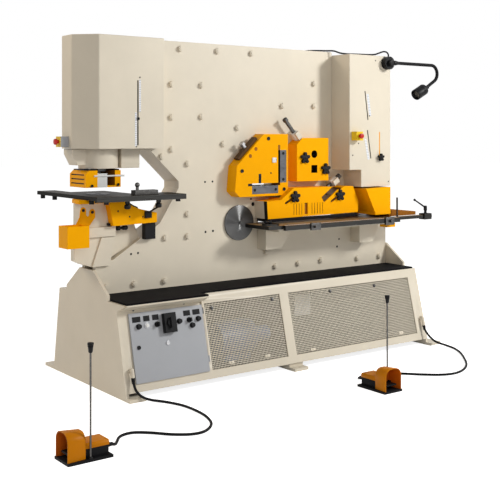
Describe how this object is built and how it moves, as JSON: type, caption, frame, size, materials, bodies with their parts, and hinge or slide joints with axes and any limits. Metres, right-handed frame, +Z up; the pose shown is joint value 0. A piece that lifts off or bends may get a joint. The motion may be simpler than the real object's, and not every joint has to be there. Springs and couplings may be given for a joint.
{
  "type": "hydraulic ironworker",
  "caption": "Floor-standing hydraulic ironworker with a punch, angle, bar and flat shears and a notcher on a rocking arm, on a stand with a control cabinet, a work lamp and foot pedals",
  "frame": {"origin": "on the floor under the middle of the stand, on the mid-plane of the frame plates", "axes": "+X along the machine from the punch to the notcher, +Y to the back, +Z up"},
  "size_m": [3.745, 1.981, 2.2765],
  "materials": {
    "cream_paint": "satin",
    "yellow_paint": "satin",
    "steel": "brushed",
    "dark_steel": "satin",
    "grey_paint": "satin",
    "blue_paint": "gloss",
    "black_plastic": "matte",
    "white_plastic": "gloss",
    "red_plastic": "gloss",
    "orange_paint": "satin",
    "rubber": "matte"
  },
  "bodies": {
    "base": {"end_plates": "cream_paint", "stand_front": "cream_paint", "stand_shell": "cream_paint", "shelf_mat": "rubber", "front_grilles": "cream_paint", "front_plate": "cream_paint", "rear_plate": "cream_paint", "frame_spacers": "cream_paint", "pivot_pin": "steel", "frame_bolts": "cream_paint", "table_brackets": "cream_paint", "fixed_tooling": "steel", "shear_blocks": "yellow_paint", "notcher_guard": "yellow_paint", "shear_table": "dark_steel", "punch_cylinder": "cream_paint", "lower_arm": "cream_paint", "die_support": "yellow_paint", "punch_table": "dark_steel", "slug_box": "yellow_paint", "left_cover": "cream_paint", "right_cover": "cream_paint", "switch_boxes": "yellow_paint", "oil_tank": "grey_paint", "pump_motor": "blue_paint", "shear_cylinder": "grey_paint", "lamp_base": "black_plastic", "pedal_bases": "black_plastic", "pedal_hoods": "orange_paint", "left_cable": "rubber", "right_cable": "rubber"},
    "rocker": {"shear_arm": "cream_paint", "moving_blades": "steel"},
    "punch_ram": {"punch_ram": "steel"},
    "shear_rod": {"shear_rod": "steel"},
    "flat_guard": {"flat_guard": "yellow_paint"},
    "flat_knob_left": {"flat_knob_left": "black_plastic"},
    "flat_knob_right": {"flat_knob_right": "black_plastic"},
    "bar_knob_upper": {"bar_knob_upper": "black_plastic"},
    "bar_knob_lower": {"bar_knob_lower": "black_plastic"},
    "bar_screw": {"bar_screw": "steel"},
    "flat_screw": {"flat_screw": "steel"},
    "angle_screw": {"angle_screw": "dark_steel"},
    "notch_stop": {"notch_stop": "dark_steel"},
    "notch_lever": {"notch_lever": "black_plastic"},
    "stripper": {"stripper": "yellow_paint"},
    "table_fence": {"table_fence": "dark_steel"},
    "left_pointer": {"left_pointer": "black_plastic"},
    "right_pointer": {"right_pointer": "black_plastic"},
    "estop_left": {"estop_left": "red_plastic"},
    "estop_right": {"estop_right": "red_plastic"},
    "cabinet_door": {"cabinet_door": "grey_paint"},
    "main_switch": {"main_switch": "black_plastic"},
    "selector_left": {"selector_left": "black_plastic"},
    "selector_right": {"selector_right": "black_plastic"},
    "push_button": {"push_button": "white_plastic"},
    "lamp_arm": {"lamp_arm": "black_plastic"},
    "lamp_head": {"lamp_head": "black_plastic"},
    "left_treadle": {"left_treadle": "black_plastic"},
    "right_treadle": {"right_treadle": "black_plastic"}
  },
  "joints": [
    {"name": "ram_stroke", "type": "slide", "parent": "base", "child": "punch_ram", "axis": [0, 0, -1], "range_m": [0, 0.08]},
    {"name": "arm_rock", "type": "hinge", "parent": "base", "child": "rocker", "pos_m": [-0.169, 0, 0.995], "axis": [0, 1, 0], "range_deg": [0, 5]},
    {"name": "rod_stroke", "type": "slide", "parent": "base", "child": "shear_rod", "axis": [0, 0, -1], "range_m": [0, 0.0901]},
    {"name": "flat_guard_lift", "type": "slide", "parent": "base", "child": "flat_guard", "axis": [0.8829, 0, 0.4695], "range_m": [0, 0.03]},
    {"name": "flat_knob_left_turn", "type": "hinge", "parent": "base", "child": "flat_knob_left", "pos_m": [0.227, -0.251, 1.172], "axis": [0, -1, 0], "continuous": true},
    {"name": "flat_knob_right_turn", "type": "hinge", "parent": "base", "child": "flat_knob_right", "pos_m": [0.667, -0.251, 1.168], "axis": [0, -1, 0], "continuous": true},
    {"name": "bar_knob_upper_turn", "type": "hinge", "parent": "base", "child": "bar_knob_upper", "pos_m": [0.362, -0.201, 1.453], "axis": [0, -1, 0], "continuous": true},
    {"name": "bar_knob_lower_turn", "type": "hinge", "parent": "base", "child": "bar_knob_lower", "pos_m": [0.565, -0.201, 1.367], "axis": [0, -1, 0], "continuous": true},
    {"name": "bar_screw_feed", "type": "slide", "parent": "base", "child": "bar_screw", "axis": [0.6561, 0, -0.7547], "range_m": [0, 0.025]},
    {"name": "flat_screw_feed", "type": "slide", "parent": "base", "child": "flat_screw", "axis": [-0.829, 0, -0.5592], "range_m": [0, 0.025]},
    {"name": "angle_screw_lift", "type": "slide", "parent": "base", "child": "angle_screw", "axis": [-0.6856, 0, 0.728], "range_m": [0, 0.015]},
    {"name": "notch_stop_slide", "type": "slide", "parent": "base", "child": "notch_stop", "axis": [1, 0, 0], "range_m": [-0.15, 0.01]},
    {"name": "notch_lever_turn", "type": "hinge", "parent": "notch_stop", "child": "notch_lever", "pos_m": [1.505, -0.345, 0.997], "axis": [0, 0, 1], "range_deg": [-60, 60]},
    {"name": "stripper_drop", "type": "slide", "parent": "base", "child": "stripper", "axis": [0, 0, -1], "range_m": [0, 0.03]},
    {"name": "fence_slide", "type": "slide", "parent": "base", "child": "table_fence", "axis": [1, 0, 0], "range_m": [-0.1, 0.1]},
    {"name": "left_pointer_slide", "type": "slide", "parent": "base", "child": "left_pointer", "axis": [0, 0, 1], "range_m": [-0.16, 0.23]},
    {"name": "right_pointer_slide", "type": "slide", "parent": "base", "child": "right_pointer", "axis": [0, 0, 1], "range_m": [-0.014, 0.19]},
    {"name": "estop_left_push", "type": "slide", "parent": "base", "child": "estop_left", "axis": [1, 0, 0], "range_m": [0, 0.004]},
    {"name": "estop_right_push", "type": "slide", "parent": "base", "child": "estop_right", "axis": [0, 1, 0], "range_m": [0, 0.004]},
    {"name": "door_swing", "type": "hinge", "parent": "base", "child": "cabinet_door", "pos_m": [-0.702, -0.47298, 0.30389], "axis": [0, 0.2408, 0.9706], "range_deg": [0, 100]},
    {"name": "main_switch_turn", "type": "hinge", "parent": "cabinet_door", "child": "main_switch", "pos_m": [-0.978, -0.48243, 0.43605], "axis": [0, -0.9706, 0.2408], "range_deg": [-90, 0]},
    {"name": "selector_left_turn", "type": "hinge", "parent": "cabinet_door", "child": "selector_left", "pos_m": [-1.06, -0.4521, 0.42956], "axis": [0, -0.9706, 0.2408], "range_deg": [-45, 45]},
    {"name": "selector_right_turn", "type": "hinge", "parent": "cabinet_door", "child": "selector_right", "pos_m": [-0.819, -0.4521, 0.42956], "axis": [0, -0.9706, 0.2408], "range_deg": [-45, 45]},
    {"name": "push_button_press", "type": "slide", "parent": "cabinet_door", "child": "push_button", "axis": [0, 0.9706, -0.2408], "range_m": [0, 0.003], "stiffness_N_per_m": 400, "springref_m": -0.004},
    {"name": "lamp_arm_swing", "type": "hinge", "parent": "base", "child": "lamp_arm", "pos_m": [1.112, -0.355, 2.185], "axis": [0, 1, 0], "range_deg": [-20, 20]},
    {"name": "lamp_head_tilt", "type": "hinge", "parent": "lamp_arm", "child": "lamp_head", "pos_m": [1.50693, -0.355, 2.00495], "axis": [0, 1, 0], "range_deg": [-25, 25]},
    {"name": "left_treadle_press", "type": "hinge", "parent": "base", "child": "left_treadle", "pos_m": [-2.016, -1.2685, 0.044], "axis": [0, -1, 0], "range_deg": [0, 12], "stiffness_Nm_per_rad": 2.5, "springref_deg": -17.19},
    {"name": "right_treadle_press", "type": "hinge", "parent": "base", "child": "right_treadle", "pos_m": [0.1255, -1.266, 0.044], "axis": [1, 0, 0], "range_deg": [0, 12], "stiffness_Nm_per_rad": 2.5, "springref_deg": -17.19}
  ],
  "couplings": [
    {"joint": "rod_stroke", "follows": "arm_rock", "m_per_rad": 1.0313}
  ]
}
